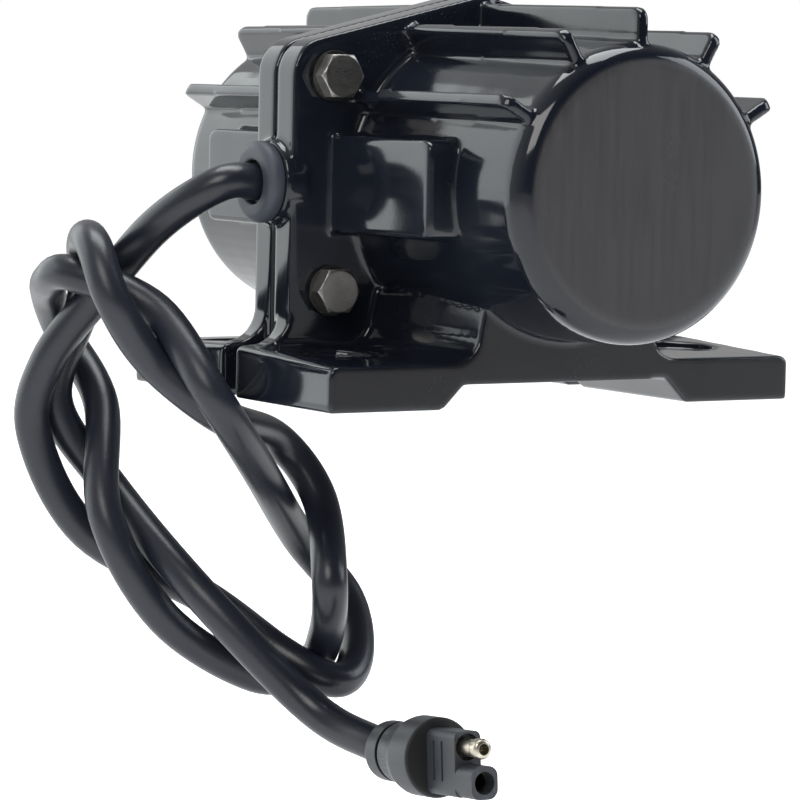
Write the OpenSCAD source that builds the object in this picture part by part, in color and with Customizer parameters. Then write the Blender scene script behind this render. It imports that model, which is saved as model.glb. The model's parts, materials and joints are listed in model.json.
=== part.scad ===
/* [Housing] */
// Height of the rotor axis above the mounting face
axis_h = 50.6; // [50:0.1:60]
// Outer radius of a cup at its closed end
cup_r = 34.5; // [28.5:0.1:42]
// How much wider a cup is at the flange than at its closed end
cup_flare = 1.8; // [0.5:0.1:3]
// Distance from the joint plane to the closed end of a cup
half_l = 79.3; // [66:0.1:96]
// Radius of the rounded rim of the closed end
end_round = 5.9; // [3:0.1:7]
// Wall between the bore and the outside of a cup
cup_wall = 3.3; // [2.5:0.1:4.5]
// Wall behind each bearing
end_wall = 3.7; // [3:0.1:6]
// Height of the raised hollow between the two foot pads
arch_h = 5.9; // [4:0.1:7]
// Thickness of a foot at its outer end
foot_t = 10.5; // [9:0.1:13]
// Rise of the foot's top towards the flange
foot_rise = 2; // [0:0.1:3]
// Distance from the joint plane to the end of a foot
foot_l = 48; // [40:0.5:58]
// Ledge of the foot outside the flange
foot_ledge = 11.4; // [9:0.1:14]
// Gap between the near and the far foot
foot_gap = 5.5; // [3:0.1:8]

/* [Fins and side bosses] */
// Number of cooling fins on each cup
fin_n = 5; // [3:1:7]
// Thickness of a fin
fin_t = 3; // [2:0.1:4]
// How far a fin stands out of the cup at its closed end
fin_h = 7.8; // [4:0.1:10]
// Distance of the fin's end from the cup's end face
fin_back = 3; // [2:0.1:8]
// Height of a side boss
boss_h = 22.6; // [18:0.1:28]
// How far a side boss stands out of the cup
boss_out = 7.5; // [6:0.1:10]
// Distance from the joint plane to the end of a side boss
boss_l = 53; // [45:0.5:60]

/* [Flange and bolts] */
// Thickness of each half's flange
flange_t = 9; // [7:0.1:12]
// Gap between the cup and the bolt circle
bolt_gap = 12.7; // [11:0.1:16]
// Angle of the bolts above and below the axis
bolt_angle = 31; // [28:0.5:36]
// Metal outside the bolt axis at the flange's side
bolt_edge = 10.4; // [9:0.1:13]
// Radius of the flange's rounded corners
flange_corner = 9; // [6:0.1:9]
// Height of the gable's tip above the fins
gable_rise = 1.7; // [0.5:0.1:4]
// Thickness of the gasket
gasket_t = 0.5; // [0.3:0.1:1.5]
// Bolt diameter
bolt_d = 6; // [5:0.5:8]
// Width across flats of the bolt heads and nuts
hex_af = 10; // [8:0.5:13]
// Height of a bolt head
head_h = 4; // [3:0.1:5]
// Height of a nut
nut_h = 5; // [4:0.1:6.5]
// Thickness of a washer
washer_t = 1.2; // [0.8:0.1:2]
// Width of a washer's ring outside the head's flats
washer_rim = 1; // [0.5:0.1:2]

/* [Mounting holes] */
// Diameter of the four mounting holes
hole_d = 9; // [6:0.5:11]
// Diameter of the spot faces round the holes
spot_d = 19; // [15:0.5:22]
// Distance of a hole from the foot's side
hole_in = 15.8; // [11:0.1:18]
// Distance of a hole from the joint plane
hole_y = 24; // [20:0.5:36]

/* [Rotor] */
// Diameter of the shaft in the bearings
shaft_d = 15; // [12:0.5:17]
// Outer diameter of the bearings
bearing_d = 35; // [30:0.5:37]
// Width of the bearings
bearing_w = 11; // [9:0.5:13]
// Diameter of a bearing ball
ball_d = 5.9; // [4.5:0.1:6.5]
// Number of balls in a bearing
ball_n = 8; // [6:1:9]
// Thickness of an eccentric weight
weight_t = 13; // [8:0.5:16]
// Gap between a weight and the bore
weight_gap = 4.2; // [2:0.1:6]
// Thickness of the yoke ring
yoke_t = 3; // [2:0.1:4]
// Thickness of a field magnet
magnet_t = 7; // [4:0.1:8]
// Air gap between armature and magnets
air_gap = 1; // [0.6:0.1:2]
// Number of slots in the armature
slot_n = 12; // [8:1:14]
// Diameter of the commutator
commutator_d = 20; // [17:0.5:22]
// Length of the commutator
commutator_l = 13; // [11:0.5:14]
// Length of a winding overhang
winding_l = 9; // [5:0.5:11]

/* [Brushes] */
// Width of a brush round the commutator
brush_w = 6; // [4:0.5:7]
// Length of a brush along the shaft
brush_l = 9; // [7:0.5:10]
// Travel of a brush away from the commutator
brush_travel = 3; // [1:0.5:3]
// Wall of a brush holder
holder_wall = 1; // [0.8:0.1:1.4]

/* [Cable and connector] */
// Diameter of the cable
cable_d = 8.6; // [6:0.1:9.2]
// Diameter of the grommet's collar
grommet_d = 19.3; // [16:0.1:22]
// Diameter of the grommet's neck
neck_d = 14; // [12:0.1:15]
// Length of the grommet's collar
collar_l = 4; // [3:0.1:6]
// Diameter of the connector's barrel
plug_d = 18.6; // [16:0.1:22]
// Distance between the pin and the socket
plug_pitch = 7.6; // [7.6:0.1:9]
// Width of the connector's body
plug_w = 7; // [6:0.1:8]
// Diameter of the connector's pin
pin_d = 4.2; // [3:0.1:4.6]

/* [Hidden] */
$fn = 72;
bolt_n = 4;
bore_r = cup_r - cup_wall;
cup_flange_r = cup_r + cup_flare;
joint_y = gasket_t / 2;
fit = 0.05;

// Flange, bolts and feet
bolt_circle_r = cup_flange_r + bolt_gap;
bolt_x = bolt_circle_r * cos(bolt_angle);
bolt_z = bolt_circle_r * sin(bolt_angle);
bolts = [for (i = [0:bolt_n - 1]) [(i % 2 == 0 ? -1 : 1) * bolt_x, axis_h + (i < 2 ? 1 : -1) * bolt_z]];
bolt_clear = 0.3;
flange_hw = bolt_x + bolt_edge;
fin_r = cup_r + fin_h;
fin_flange_r = fin_r + 0.9;
gable_h = axis_h + fin_flange_r + gable_rise;
foot_hw = flange_hw + foot_ledge;
flare_r = 8;
hole_x = foot_hw - hole_in;
spot_z = foot_t - 0.6;
pad_in_x = cup_r - 0.4;
arch_x = cup_r - 6.2;
neck_end_x = cup_r - 10.8;
neck_flange_x = cup_r - 3;
relief_r = hex_af * 0.78;
washer_r = hex_af / 2 + washer_rim;
boss_x = cup_r + boss_out;
duct_x = boss_x - 3;
duct_h = boss_h - 7.6;
duct_l = boss_l - 3;

// Rotor stack, worked out from the bearings inwards
seat_wall = 5.5;
shaft_r = shaft_d / 2;
bearing_r = bearing_d / 2;
wave_t = 1;
near_bearing_y = -(half_l - end_wall);
far_bearing_y = half_l - end_wall - wave_t - bearing_w;
spacer_l = 4.6;
weight_y = half_l - end_wall - bearing_w - spacer_l;
weight_r = bore_r - weight_gap;
hub_r = shaft_r + 6;
mid_r = shaft_r + 1;
screw_l = 8;
socket_deep = 3;
seat_end_y = half_l - end_wall - bearing_w - 2;
brush_gap = 3;
commutator_y = -(weight_y - weight_t - brush_gap);
commutator_r = commutator_d / 2;
core_near_y = commutator_y + commutator_l + winding_l;
core_far_y = weight_y - weight_t - 16 - winding_l;
yoke_r = bore_r - fit;
magnet_r = yoke_r - yoke_t;
armature_r = magnet_r - magnet_t - air_gap;
armature_slot_w = armature_r * 0.16;
slot_floor_r = armature_r * 0.62;
groove_r = ball_d / 2 + 0.15;
ball_circle_r = (shaft_r + bearing_r) / 2;
land_gap = ball_d * 0.4;

// Brushes
plate_t = 2.2;
plate_y = commutator_y - plate_t;
brush_y = commutator_y + plate_t / 2 + brush_l / 2 + 0.6;
brush_in_x = commutator_r + 0.15;
holder_out_x = bore_r - 2;
holder_in_x = commutator_r + 1.5;
slide_gap = 0.15;
spring_wire = 0.9;
spring_turns = 6;
spring_in_x = holder_out_x - 1.4 - brush_travel - (spring_turns + 1) * spring_wire;

// Cable: where it leaves the grommet and the points that it follows
cable_r = cable_d / 2;
cable_sides = 10;
lead_r = 1.4;
lead_turn_y = max(brush_y, -duct_l + lead_r + 1);
cable_route = [
    [-56, 0, 50.6], [-67, 0, 50], [-77, 12, 40], [-83, 30, 23], [-91, 41, 6],
    [-92, 46, -12], [-80, 41, -36], [-56, 25, -51], [-45, 5, -63], [-34, -2, -69],
    [-25, 4, -64], [-21, 16, -52], [-33, 19, -37], [-56, -1, -17], [-73, -10, 1],
    [-79, 8, 20], [-93, 24, 28], [-93, 36, 26], [-86, 51, 21], [-78, 59, 11],
    [-75, 44, -5], [-82, 27, -30], [-69, 21, -55], [-45, 19, -70], [-33, 14, -68],
    [-36, 0, -58], [-41, -10, -44], [-35, 6, -26], [-43, 13, -12], [-67, -1, -4],
    [-82, 5, 9], [-92, 5, 23], [-93, 13, 35], [-88, 28, 35], [-80, 44, 20],
    [-85, 49, -4], [-74, 40, -25], [-65, 10, -48], [-45, -10, -74], [-37, -32, -81]];
cable_start_x = cable_route[0][0];

// Connector: the back of its ring, and how far its axis, along -Y, tips up in degrees
plug_at = cable_route[len(cable_route) - 1];
plug_tip = 4.6;
ring_d = 14.2;
ring_l = 5.5;
slot_w = 1;
neck_l = 4;
shoulder_l = 5;
barrel_l = 7.5;
block_l = 12;
shroud_l = 7;
block_top = 7;
block_bottom = -8;
pin_z = 3.4;
socket_z = pin_z - plug_pitch;
barrel_y = ring_l + slot_w + neck_l + shoulder_l;
block_y = barrel_y + barrel_l;
pin_l = shroud_l + 2;
socket_r = 2.6;

// Shared shapes

function arc(cx, cy, r, from, to, n = 8) =
    [for (i = [0:n]) let (a = from + (to - from) * i / n) [cx + r * cos(a), cy + r * sin(a)]];

// Point on a smooth curve through four points, t from 0 to 1 between the middle two
function smooth(a, b, c, d, t) =
    0.5 * (2 * b + (c - a) * t + (2 * a - 5 * b + 4 * c - d) * t * t + (3 * b - a - 3 * c + d) * t * t * t);

// Steps between each two points of a route, with its end points carried straight on
function smooth_route(p, steps) = let (n = len(p)) concat(
    [for (i = [0:n - 2], k = [0:steps - 1])
        smooth(i > 0 ? p[i - 1] : 2 * p[0] - p[1], p[i], p[i + 1],
               i < n - 2 ? p[i + 2] : 2 * p[n - 1] - p[n - 2], k / steps)],
    [p[n - 1]]);

function unit(v) = v / norm(v);

// Side direction carried along a route without twisting
function frames(p, i = 0, side = [0, 0, 1], out = []) =
    i == len(p) ? out :
    let (t = unit(p[min(i + 1, len(p) - 1)] - p[max(i - 1, 0)]),
         flat = unit(side - (side * t) * t))
    frames(p, i + 1, flat, concat(out, [[flat, cross(t, flat)]]));

// One tube of radius r along the points p
module tube(p, r, sides) {
    n = len(p);
    f = frames(p);
    points = [for (i = [0:n - 1], k = [0:sides - 1])
        let (a = 360 * k / sides) p[i] + r * (cos(a) * f[i][0] + sin(a) * f[i][1])];
    walls = [for (i = [0:n - 2], k = [0:sides - 1])
        let (a = i * sides + k, b = i * sides + (k + 1) % sides)
        [a, a + sides, b + sides, b]];
    first = [for (k = [0:sides - 1]) k];
    last = [for (k = [sides - 1:-1:0]) (n - 1) * sides + k];
    polyhedron(points, concat([first], walls, [last]));
}

module along_y(y = 0) { translate([0, y, axis_h]) rotate([-90, 0, 0]) children(); }

// A ring about the rotor axis from y to y + l
module ring(r_out, r_in, y, l) {
    along_y(y) difference() {
        cylinder(r = r_out, h = l);
        translate([0, 0, -1]) cylinder(r = r_in, h = l + 2);
    }
}

// Turns an outline in X and Z into a plate from y to y + l
module plate(y, l) { translate([0, y + l, 0]) rotate([90, 0, 0]) linear_extrude(l) children(); }

module near() { mirror([0, 1, 0]) children(); }

module at_bolts() { for (b = bolts) translate([b[0], 0, b[1]]) children(); }

// Housing

// Flange outline: a gable over the upper bolts and straight sides down to the feet
module flange_outline(inset = 0) {
    r = flange_corner - inset;
    x = flange_hw - flange_corner;
    z = axis_h + bolt_z;
    tip = gable_h - flange_corner;
    slope = atan((tip - z) / x);
    polygon(concat(
        [[flange_hw - inset, arch_h + inset]],
        arc(x, z, r, 0, 90 - slope),
        arc(0, tip, r, 90 - slope, 90 + slope),
        arc(-x, z, r, 90 + slope, 180),
        [[-flange_hw + inset, arch_h + inset]]));
}

// Concave flare between the flange's side and the foot
module flare_outline() {
    difference() {
        translate([flange_hw - 1, arch_h])
            square([flare_r + 1, foot_t + foot_rise + flare_r - arch_h]);
        translate([flange_hw + flare_r, foot_t + foot_rise + flare_r]) circle(flare_r);
    }
}

// Right half of the foot's outline across the motor: arch, pad, top height, neck half-width, fillet
function foot_side(top, neck, fillet) = concat(
    [[arch_x, arch_h], [pad_in_x, 0], [foot_hw, 0]],
    arc(foot_hw - 2, top - 2, 2, 0, 90, 5),
    arc(neck + fillet, top + fillet, fillet, 270, 180, 7),
    [[neck - 1.5, axis_h - cup_r + 9]]);

function foot_section(top, neck, fillet) = let (s = foot_side(top, neck, fillet))
    concat(s, [for (i = [len(s) - 1:-1:0]) [-s[i][0], s[i][1]]]);

// Foot and neck of a half: two outlines across the motor joined along it
module foot() {
    a = foot_section(foot_t + foot_rise, neck_flange_x, 6);
    b = foot_section(foot_t, neck_end_x, 7.5);
    n = len(a);
    points = concat([for (p = a) [p[0], foot_gap / 2, p[1]]], [for (p = b) [p[0], foot_l, p[1]]]);
    sides = [for (i = [0:n - 1]) [i, (i + 1) % n, n + (i + 1) % n, n + i]];
    polyhedron(points, concat([[for (i = [n - 1:-1:0]) i]], sides, [[for (i = [0:n - 1]) n + i]]));
}

// Outside of a cup, from the joint plane to its closed end
module cup_outside() {
    fillet = 2;
    profile = concat(
        [[0, 0], [cup_flange_r + fillet, 0]],
        arc(cup_flange_r + fillet, flange_t + fillet, fillet, 270, 180, 4),
        arc(cup_r - end_round, half_l - end_round, end_round, 0, 90, 9),
        [[0, half_l]]);
    along_y() rotate_extrude($fn = 120) polygon(profile);
}

// Inside of a cup: the bore, the pocket round the bearing seat, the seat and the shaft's recess
module cup_inside() {
    pocket = half_l - end_wall - 2;
    profile = [[0, -1], [bore_r, -1], [bore_r, pocket - 4], [bore_r - 4, pocket],
               [bearing_r + seat_wall, pocket], [bearing_r + seat_wall, seat_end_y],
               [bearing_r, seat_end_y], [bearing_r, half_l - end_wall],
               [bearing_r - 6, half_l - end_wall], [bearing_r - 6, half_l - end_wall + 1.4],
               [0, half_l - end_wall + 1.4]];
    along_y() rotate_extrude($fn = 120) polygon(profile);
}

module fin() {
    end = half_l - fin_back;
    root = bore_r + 1;
    translate([0, 0, -fin_t / 2]) linear_extrude(fin_t)
        polygon(concat([[root, 1], [fin_flange_r, 1]],
                       arc(fin_r - 3, end - 3, 3, 0, 90, 5), [[root, end]]));
}

module side_boss() {
    round_r = 3;
    root_x = bore_r - 2;
    w = boss_x - root_x;
    translate([root_x, 1, axis_h - boss_h / 2]) cube([w, boss_l - round_r - 1, boss_h]);
    translate([root_x, 1, axis_h - boss_h / 2 + round_r]) cube([w, boss_l - 1, boss_h - 2 * round_r]);
    for (s = [-1, 1])
        translate([root_x, boss_l - round_r, axis_h + s * (boss_h / 2 - round_r)])
            rotate([0, 90, 0]) cylinder(r = round_r, h = w, $fn = 32);
}

module half_outside() {
    cup_outside();
    plate(joint_y, flange_t - joint_y) flange_outline();
    for (s = [0, 1]) mirror([s, 0, 0]) {
        plate(foot_gap / 2, flange_t - foot_gap / 2) flare_outline();
        side_boss();
    }
    foot();
    for (i = [1:fin_n]) translate([0, 0, axis_h]) rotate([0, -180 * i / (fin_n + 1), 0]) fin();
    translate([-flange_hw - 2.1, 0, axis_h]) rotate([0, 90, 0]) cylinder(r = grommet_d / 2 + 0.4, h = 6);
}

// Hole across the left duct and flange for the cable's grommet
module cable_hole() {
    translate([-flange_hw - 4, 0, axis_h]) rotate([0, 90, 0])
        cylinder(r = neck_d / 2, h = flange_hw + 4 - duct_x + 1);
}

module bolt_holes(l) {
    at_bolts() rotate([-90, 0, 0]) translate([0, 0, -2]) cylinder(d = bolt_d + bolt_clear, h = l + 2);
}

// Wiring ducts inside the side bosses, open to the bore
module ducts(l, y) {
    w = duct_x - bore_r + 3;
    for (s = [-1, 1]) translate([s * (duct_x - w / 2), y, axis_h]) cube([w, l, duct_h], center = true);
}

// One cast half, on the far side of the joint plane
module half() {
    difference() {
        half_outside();
        cup_inside();
        ducts(duct_l + 2, duct_l / 2 - 1);
        cable_hole();
        bolt_holes(flange_t + 2);
        at_bolts() rotate([-90, 0, 0]) translate([0, 0, flange_t]) cylinder(r = relief_r, h = 12);
        for (s = [-1, 1]) translate([s * hole_x, hole_y, 0]) {
            translate([0, 0, -1]) cylinder(d = hole_d, h = foot_t + foot_rise + 4);
            translate([0, 0, spot_z]) cylinder(d = spot_d, h = 14);
        }
        translate([-100, joint_y - 60, -10]) cube([200, 60, 160]);
    }
}

module far_housing() { color([0.10, 0.10, 0.12]) half(); }

module near_housing() { color([0.10, 0.10, 0.12]) near() half(); }

module flange_gasket() {
    color([0.05, 0.05, 0.05]) difference() {
        plate(-joint_y, gasket_t) flange_outline(0.6);
        along_y(-2) cylinder(r = bore_r, h = 4);
        bolt_holes(4);
        ducts(4, 0);
        cable_hole();
    }
}

// Fasteners

// Hexagon with its upper corners chamfered at 30 degrees
module hex_piece(h) {
    top = hex_af / 2 - 0.2;
    intersection() {
        cylinder(d = hex_af / cos(30), h = h, $fn = 6);
        rotate_extrude()
            polygon([[0, 0], [hex_af, 0], [hex_af, h - (hex_af - top) * tan(30)], [top, h], [0, h]]);
    }
}

module place_at(i) { translate([bolts[i][0], 0, bolts[i][1]]) children(); }

module flange_bolt(i) {
    seat = flange_t + washer_t;
    shank = 2 * seat + nut_h + 1.5;
    color([0.72, 0.69, 0.64]) place_at(i) {
        translate([0, -seat, 0]) rotate([90, 0, 0]) hex_piece(head_h);
        translate([0, -seat, 0]) rotate([-90, 0, 0]) cylinder(d = bolt_d, h = shank);
    }
}

module washer(i, y) {
    color([0.66, 0.64, 0.6]) place_at(i) translate([0, y, 0]) rotate([-90, 0, 0]) difference() {
        cylinder(r = washer_r, h = washer_t);
        translate([0, 0, -1]) cylinder(d = bolt_d + bolt_clear, h = washer_t + 2);
    }
}

module flange_nut(i) {
    color([0.72, 0.69, 0.64]) place_at(i) translate([0, flange_t + washer_t, 0]) rotate([-90, 0, 0])
        difference() {
            hex_piece(nut_h);
            translate([0, 0, -1]) cylinder(d = bolt_d + 2 * fit, h = nut_h + 2);
        }
}

// Cable entry

module cable_grommet() {
    inner = flange_hw + 2.1;
    color([0.07, 0.07, 0.08]) translate([-inner, 0, axis_h]) rotate([0, 90, 0]) difference() {
        union() {
            translate([0, 0, -collar_l]) rotate_extrude()
                polygon(concat([[0, 0]], arc(grommet_d / 2 - 1.2, 1.2, 1.2, 270, 360, 5),
                               [[grommet_d / 2, collar_l], [0, collar_l]]));
            cylinder(r = neck_d / 2 - fit, h = inner - duct_x);
        }
        translate([0, 0, -collar_l - 1]) cylinder(r = cable_r + fit, h = inner + collar_l);
        translate([0, 0, -collar_l - 1])
            cylinder(r = cable_r + 1.2, h = collar_l + 1 - (inner + cable_start_x));
    }
}

module cable_tail() {
    color([0.05, 0.05, 0.055]) translate([cable_start_x, 0, axis_h]) rotate([0, 90, 0])
        cylinder(r = cable_r, h = -cable_start_x - duct_x + 1);
}

// From the jacket's end in the left duct to the brush holder on side s
function lead_route(s) = concat(
    [[-duct_x + 1, -2, axis_h + s * 2.5], [-duct_x + 2.4, -7, axis_h + s * 4]],
    [[-duct_x + 2.6, -20, axis_h + s * 5], [-duct_x + 2.6, lead_turn_y + 12, axis_h + s * 5.2]],
    s < 0 ? concat([[-bore_r, lead_turn_y + 3, axis_h - 5.2]], left_lead_end()) :
    concat([[-bore_r + 0.5, max(brush_y + 5, -duct_l + lead_r), axis_h + 5]],
           [for (a = [155:-18:20]) [(bore_r - 4.5) * cos(a), brush_y + 2, axis_h + (bore_r - 4.5) * sin(a)]],
           [[holder_out_x - 1.6, brush_y, axis_h + brush_w / 2 + holder_wall + 1.2]]));

// A brush beyond the duct's end is reached from inside the bore
function left_lead_end() = brush_y < lead_turn_y ?
    [[-(bore_r - 2 * lead_r), lead_turn_y - 3, axis_h - 6.6],
     [-(holder_out_x - 1.6), brush_y, axis_h - brush_w / 2 - holder_wall - 1.2]] :
    [[-holder_out_x - 0.6, brush_y, axis_h - 3.5]];

module lead(s) { color([0.5, 0.08, 0.06]) tube(smooth_route(lead_route(s), 3), lead_r, 8); }

// Stator

module yoke_ring() {
    color([0.45, 0.45, 0.47]) ring(yoke_r, magnet_r, core_near_y - 3, core_far_y - core_near_y + 6);
}

// One arc magnet, about the direction given in degrees from +X
module magnet(about) {
    span = 62;
    color([0.18, 0.18, 0.19]) along_y(core_near_y - 1)
        rotate([0, 0, -about - span]) rotate_extrude(angle = 2 * span)
            translate([magnet_r - magnet_t, 0]) square([magnet_t, core_far_y - core_near_y + 2]);
}

module outer_race(y) {
    color([0.62, 0.63, 0.65]) along_y(y) rotate_extrude() difference() {
        translate([ball_circle_r + land_gap, 0]) square([bearing_r - ball_circle_r - land_gap, bearing_w]);
        translate([ball_circle_r, bearing_w / 2]) circle(groove_r, $fn = 48);
    }
}

module inner_race(y) {
    color([0.62, 0.63, 0.65]) along_y(y) rotate_extrude() difference() {
        translate([shaft_r, 0]) square([ball_circle_r - land_gap - shaft_r, bearing_w]);
        translate([ball_circle_r, bearing_w / 2]) circle(groove_r, $fn = 48);
    }
}

module at_balls(y) {
    along_y(y + bearing_w / 2) for (i = [0:ball_n - 1]) rotate([0, 0, 360 * i / ball_n])
        translate([ball_circle_r, 0, 0]) children();
}

module ball_cage(y) {
    cage_t = 0.8;
    cage_w = bearing_w - 2;
    color([0.7, 0.6, 0.3]) difference() {
        ring(ball_circle_r + cage_t, ball_circle_r - cage_t, y + 1, cage_w);
        at_balls(y) rotate([0, 90, 0]) cylinder(d = ball_d + 0.2, h = 4 * cage_t, center = true);
    }
}

module balls(y) { color([0.75, 0.76, 0.78]) at_balls(y) sphere(d = ball_d, $fn = 48); }

module bearing_wave_washer() {
    color([0.55, 0.55, 0.57]) ring(bearing_r - 0.3, bearing_r - 4.5, far_bearing_y + bearing_w, wave_t);
}

// Brush gear

module brush_plate() {
    color([0.35, 0.25, 0.15]) ring(bore_r - fit, commutator_r + 2, plate_y, plate_t);
}

module brush_holder(s) {
    w = brush_w + 2 * slide_gap;
    l = brush_l + 2 * slide_gap;
    color([0.7, 0.55, 0.25]) mirror([s < 0 ? 1 : 0, 0, 0]) difference() {
        translate([holder_in_x, brush_y - l / 2 - holder_wall, axis_h - w / 2 - holder_wall])
            cube([holder_out_x - holder_in_x, l + 2 * holder_wall, w + 2 * holder_wall]);
        translate([holder_in_x - 1, brush_y - l / 2, axis_h - w / 2])
            cube([holder_out_x - holder_in_x, l, w]);
    }
}

module brush(s) {
    color([0.15, 0.15, 0.16]) mirror([s < 0 ? 1 : 0, 0, 0])
        translate([brush_in_x, brush_y - brush_l / 2, axis_h - brush_w / 2])
            cube([spring_in_x - brush_in_x, brush_l, brush_w]);
}

module brush_spring(s) {
    r = brush_w / 2 - spring_wire;
    l = holder_out_x - 1 - spring_in_x - spring_wire;
    steps = 12;
    coil = [for (i = [0:spring_turns * steps])
        let (a = 360 * i / steps)
        [spring_in_x + spring_wire / 2 + l * i / (spring_turns * steps),
         brush_y + r * cos(a), axis_h + r * sin(a)]];
    color([0.6, 0.6, 0.62]) mirror([s < 0 ? 1 : 0, 0, 0]) tube(coil, spring_wire / 2 * 0.9, 8);
}

// Rotor

module rotor_shaft() {
    near_end = near_bearing_y;
    far_end = far_bearing_y + bearing_w;
    color([0.6, 0.61, 0.63]) {
        along_y(near_end) cylinder(r = shaft_r, h = far_end - near_end);
        along_y(-(weight_y - weight_t - 1)) cylinder(r = mid_r, h = 2 * (weight_y - weight_t - 1));
    }
}

module slot_outline(r_in, r_out, w) {
    for (i = [0:slot_n - 1]) rotate(360 * i / slot_n) translate([r_in, -w / 2]) square([r_out - r_in, w]);
}

module armature_core() {
    color([0.4, 0.4, 0.42]) along_y(core_near_y) linear_extrude(core_far_y - core_near_y) difference() {
        circle(armature_r);
        circle(mid_r);
        slot_outline(slot_floor_r, armature_r + 1, armature_slot_w);
    }
}

module armature_windings() {
    color([0.72, 0.4, 0.2]) {
        for (y = [core_near_y - winding_l + 1, core_far_y]) along_y(y) rotate_extrude()
            translate([mid_r + 1.5, 0]) square([armature_r - 2 - mid_r - 1.5, winding_l - 1]);
        along_y(core_near_y - 1) linear_extrude(core_far_y - core_near_y + 2)
            slot_outline(slot_floor_r + 0.3, armature_r - 1.5, armature_slot_w - 0.3);
    }
}

module commutator() {
    color([0.75, 0.45, 0.25]) along_y(commutator_y) linear_extrude(commutator_l) difference() {
        circle(commutator_r);
        circle(mid_r);
        slot_outline(commutator_r - 0.5, commutator_r + 1, 0.5);
    }
}

module spacer(y, l) { color([0.55, 0.55, 0.57]) ring(shaft_r + 2.5, shaft_r, y, l); }

// Half-moon weight clamped to the shaft, its mass hanging below the axis
module weight(y) {
    color([0.5, 0.5, 0.52]) difference() {
        along_y(y) {
            cylinder(r = hub_r, h = weight_t);
            half_moon();
        }
        along_y(y - 1) cylinder(r = shaft_r, h = weight_t + 2);
        translate([0, y + weight_t / 2, axis_h]) cylinder(d = bolt_d + fit, h = hub_r + 1);
    }
}

module half_moon() {
    intersection() {
        cylinder(r = weight_r, h = weight_t);
        translate([-weight_r - 1, 0, -1]) cube([2 * weight_r + 2, weight_r + 1, weight_t + 2]);
    }
}

module weight_screw(y) {
    color([0.2, 0.2, 0.22]) translate([0, y + weight_t / 2, axis_h + shaft_r]) difference() {
        cylinder(d = bolt_d, h = screw_l);
        translate([0, 0, screw_l - socket_deep]) cylinder(d = bolt_d * 0.57, h = socket_deep + 1, $fn = 6);
    }
}

// Connector, drawn with its back at the origin and pointing along -Y

module plug_place() { translate(plug_at) rotate([90 - plug_tip, 0, 0]) children(); }

module plug_boot() {
    profile = concat(
        [[0, 0]], arc(ring_d / 2 - 1.5, 1.5, 1.5, 270, 360, 5),
        [[ring_d / 2, ring_l], [ring_d / 2 - 1.4, ring_l]],
        [[ring_d / 2 - 1.4, ring_l + slot_w], [ring_d / 2, ring_l + slot_w]],
        [[ring_d / 2 + 0.2, ring_l + slot_w + neck_l], [plug_d / 2 - 0.4, barrel_y - 1.5]],
        [[plug_d / 2, barrel_y], [plug_d / 2, block_y - 0.5], [plug_d / 2 - 0.5, block_y], [0, block_y]]);
    color([0.16, 0.17, 0.19]) plug_place() rotate_extrude() polygon(profile);
}

// Rounded slab across X, from z low to z high
module block_outline(low, high, r) {
    w = plug_w / 2;
    for (z = [low + r, high - r], x = [-w + r, w - r]) translate([x, z]) circle(r, $fn = 32);
    translate([-w, low + r]) square([2 * w, high - low - 2 * r]);
    translate([-w + r, low]) square([2 * w - 2 * r, high - low]);
}

module plug_body() {
    color([0.16, 0.17, 0.19]) plug_place() difference() {
        union() {
            translate([0, 0, block_y]) linear_extrude(block_l) block_outline(block_bottom, block_top, 1.6);
            translate([0, 0, block_y]) linear_extrude(block_l + shroud_l)
                block_outline(block_bottom, pin_z - plug_pitch / 2, 2.4);
        }
        translate([0, pin_z, block_y + block_l - 2]) cylinder(r = pin_d / 2 + 1, h = 4);
        translate([0, pin_z, block_y + 2]) cylinder(d = pin_d, h = block_l);
        translate([0, socket_z, block_y + 4]) cylinder(r = socket_r, h = block_l + shroud_l);
        for (s = [-1, 1], y = [3, 6.5])
            translate([s * plug_w / 2, 0, block_y + y]) cube([0.8, 9, 0.8], center = true);
    }
}

module plug_pin() {
    tip = block_y + block_l + pin_l - 2;
    color([0.72, 0.71, 0.66]) plug_place() translate([0, pin_z, 0]) difference() {
        union() {
            translate([0, 0, block_y + 2]) cylinder(d = pin_d, h = tip - block_y - 3);
            translate([0, 0, tip - 3.2]) rotate_extrude() polygon(concat(
                [[0, 0], [pin_d / 2 + 0.1, 0.2], [pin_d / 2 + 0.3, 0.8]],
                arc(pin_d / 2 - 0.7, 2.2, 1, 0, 90, 4), [[0, 3.2]]));
        }
        translate([0, 0, tip - 6]) cylinder(r = 1.3, h = 8);
    }
}

module plug_contact() {
    color([0.7, 0.69, 0.64]) plug_place() translate([0, socket_z, block_y + 4]) difference() {
        cylinder(r = socket_r, h = block_l);
        translate([0, 0, 1]) cylinder(r = socket_r - 0.5, h = block_l);
    }
}

module power_cable() {
    color([0.05, 0.05, 0.055]) tube(smooth_route(cable_route, 2), cable_r, cable_sides);
}

near_housing();
far_housing();
flange_gasket();
for (i = [0:bolt_n - 1]) {
    flange_bolt(i);
    washer(i, -flange_t - washer_t);
    flange_nut(i);
    washer(i, flange_t);
}
cable_grommet();
cable_tail();
yoke_ring();
magnet(90);  // magnet_top
magnet(270);  // magnet_bottom
outer_race(near_bearing_y);  // near_outer_race
outer_race(far_bearing_y);  // far_outer_race
bearing_wave_washer();
brush_plate();
brush_holder(-1);  // brush_holder_left
brush_holder(1);  // brush_holder_right
brush_spring(-1);  // brush_spring_left
brush_spring(1);  // brush_spring_right
lead(-1);  // lead_left
lead(1);  // lead_right
rotor_shaft();
armature_core();
armature_windings();
commutator();
weight(-weight_y);  // near_weight
weight(weight_y - weight_t);  // far_weight
weight_screw(-weight_y);  // near_weight_screw
weight_screw(weight_y - weight_t);  // far_weight_screw
spacer(-weight_y - spacer_l, spacer_l);  // near_spacer
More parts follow.
